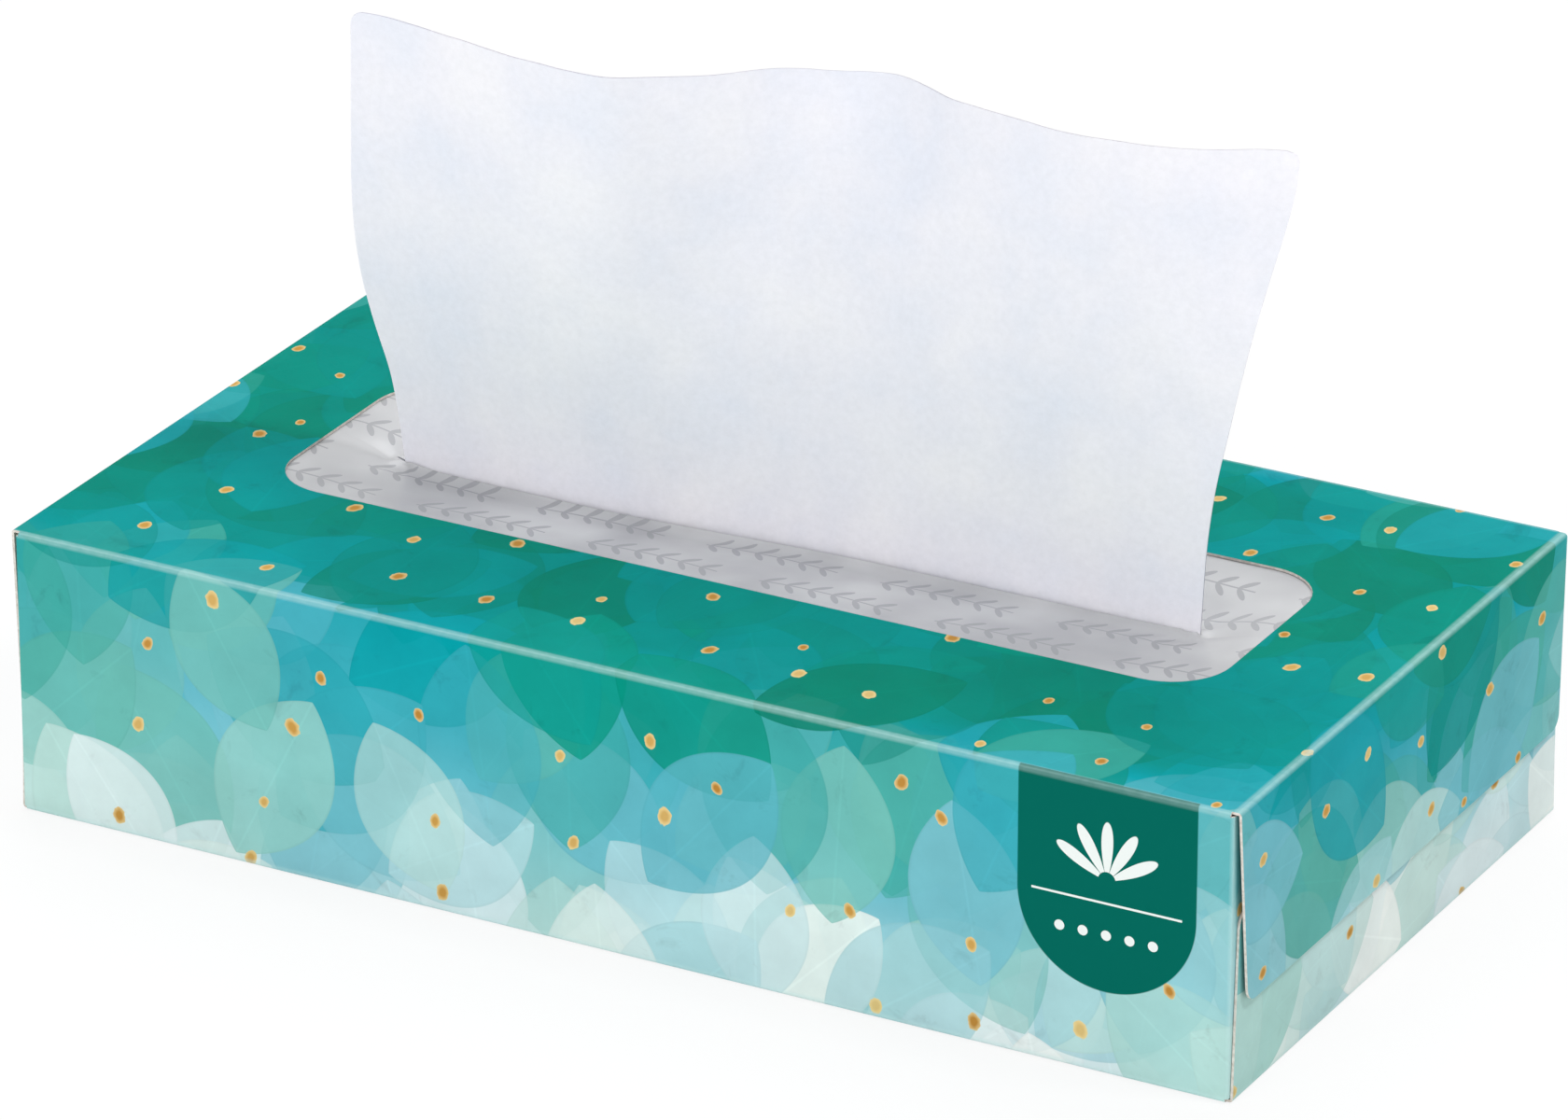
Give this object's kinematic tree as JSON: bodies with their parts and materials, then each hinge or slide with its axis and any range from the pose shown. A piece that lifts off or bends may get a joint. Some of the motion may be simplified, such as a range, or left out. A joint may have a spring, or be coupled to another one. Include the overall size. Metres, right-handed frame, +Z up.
{
  "type": "tissue box",
  "caption": "Flat printed carton with a long rounded mouth, a slit film window under it, and a facial tissue standing up through the slit.",
  "frame": {"origin": "middle of the carton's underside, where it rests on a table", "axes": "+X along the carton's length to the end that shows, +Y from the front panel to the rear one, +Z up through the mouth"},
  "size_m": [0.23, 0.125, 0.1335],
  "materials": {
    "printed_board": "satin coated folding boxboard, printed in teals and greens",
    "film": "thin translucent polyethylene film",
    "tissue": "soft two-ply creped tissue paper"
  },
  "bodies": {
    "root": {"carton": "printed_board", "window_film": "film", "tissue_stack": "tissue", "next_tissue": "tissue", "raised_tissue": "tissue"}
  },
  "joints": []
}
